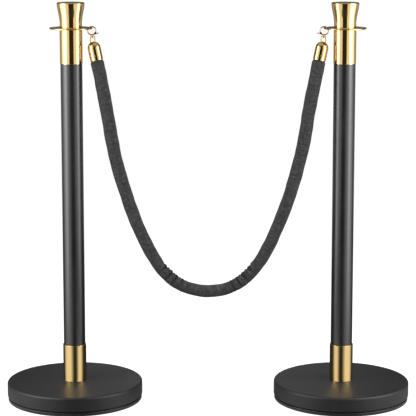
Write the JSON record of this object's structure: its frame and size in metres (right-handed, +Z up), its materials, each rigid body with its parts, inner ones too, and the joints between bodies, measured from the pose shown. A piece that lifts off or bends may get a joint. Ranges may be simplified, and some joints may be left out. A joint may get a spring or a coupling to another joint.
{
  "type": "rope barrier stanchion set",
  "caption": "Free-standing crown-top posts with weighted round bases, joined by a hanging fabric-covered barrier rope with snap hooks, to mark a queue line.",
  "frame": {"origin": "floor level, midway between the two posts", "axes": "+X from the left post to the right post, +Z up, -Y towards the side that the ferrule screws face"},
  "size_m": [0.953, 0.32, 0.9412],
  "materials": {
    "black_coat": "satin powder coat",
    "gold": "mirror polish",
    "steel": "zinc plated",
    "cast_iron": "rough cast",
    "rubber": "matt moulded",
    "rope_fabric": "woven cover with a soft sheen",
    "rope_filling": "soft filling"
  },
  "bodies": {
    "posts": {"left_base_ring": "rubber", "left_base_weight": "cast_iron", "left_base_cover": "black_coat", "left_base_bolt": "steel", "left_base_washer": "steel", "left_foot_plug": "steel", "left_post_tube": "black_coat", "left_lower_sleeve": "gold", "left_upper_sleeve": "gold", "left_top_plug": "steel", "left_hook_plate": "gold", "left_crown_plug": "steel", "left_crown_stud": "steel", "left_crown_top": "gold", "right_base_ring": "rubber", "right_base_weight": "cast_iron", "right_base_cover": "black_coat", "right_base_bolt": "steel", "right_base_washer": "steel", "right_foot_plug": "steel", "right_post_tube": "black_coat", "right_lower_sleeve": "gold", "right_upper_sleeve": "gold", "right_top_plug": "steel", "right_hook_plate": "gold", "right_crown_plug": "steel", "right_crown_stud": "steel", "right_crown_top": "gold"},
    "rope": {"rope_cover": "rope_fabric", "rope_core": "rope_filling", "left_swivel_loop": "gold", "left_ferrule": "gold", "left_loop_pin": "gold", "left_ferrule_screw": "gold", "right_swivel_loop": "gold", "right_ferrule": "gold", "right_loop_pin": "gold", "right_ferrule_screw": "gold"},
    "left_hook": {"left_hook": "gold", "left_gate_pin": "steel", "left_gate_spring": "steel"},
    "left_gate": {"left_gate": "gold"},
    "right_hook": {"right_hook": "gold", "right_gate_pin": "steel", "right_gate_spring": "steel"},
    "right_gate": {"right_gate": "gold"}
  },
  "joints": [
    {"name": "rope_sway", "type": "hinge", "parent": "posts", "child": "rope", "pos_m": [0, 0, 0.8839], "axis": [1, 0, 0], "range_deg": [-22, 22]},
    {"name": "left_hook_swivel", "type": "hinge", "parent": "rope", "child": "left_hook", "pos_m": [-0.2665, 0, 0.8634], "axis": [0, 0, 1], "range_deg": [-10, 10]},
    {"name": "left_gate_hinge", "type": "hinge", "parent": "left_hook", "child": "left_gate", "pos_m": [-0.26076, 0, 0.86855], "axis": [0, -1, 0], "range_deg": [0, 20], "stiffness_Nm_per_rad": 0.02, "springref_deg": -28.65},
    {"name": "right_hook_swivel", "type": "hinge", "parent": "rope", "child": "right_hook", "pos_m": [0.2665, 0, 0.8634], "axis": [0, 0, 1], "range_deg": [-10, 10]},
    {"name": "right_gate_hinge", "type": "hinge", "parent": "right_hook", "child": "right_gate", "pos_m": [0.26076, 0, 0.86855], "axis": [0, 1, 0], "range_deg": [0, 20], "stiffness_Nm_per_rad": 0.02, "springref_deg": -28.65}
  ]
}
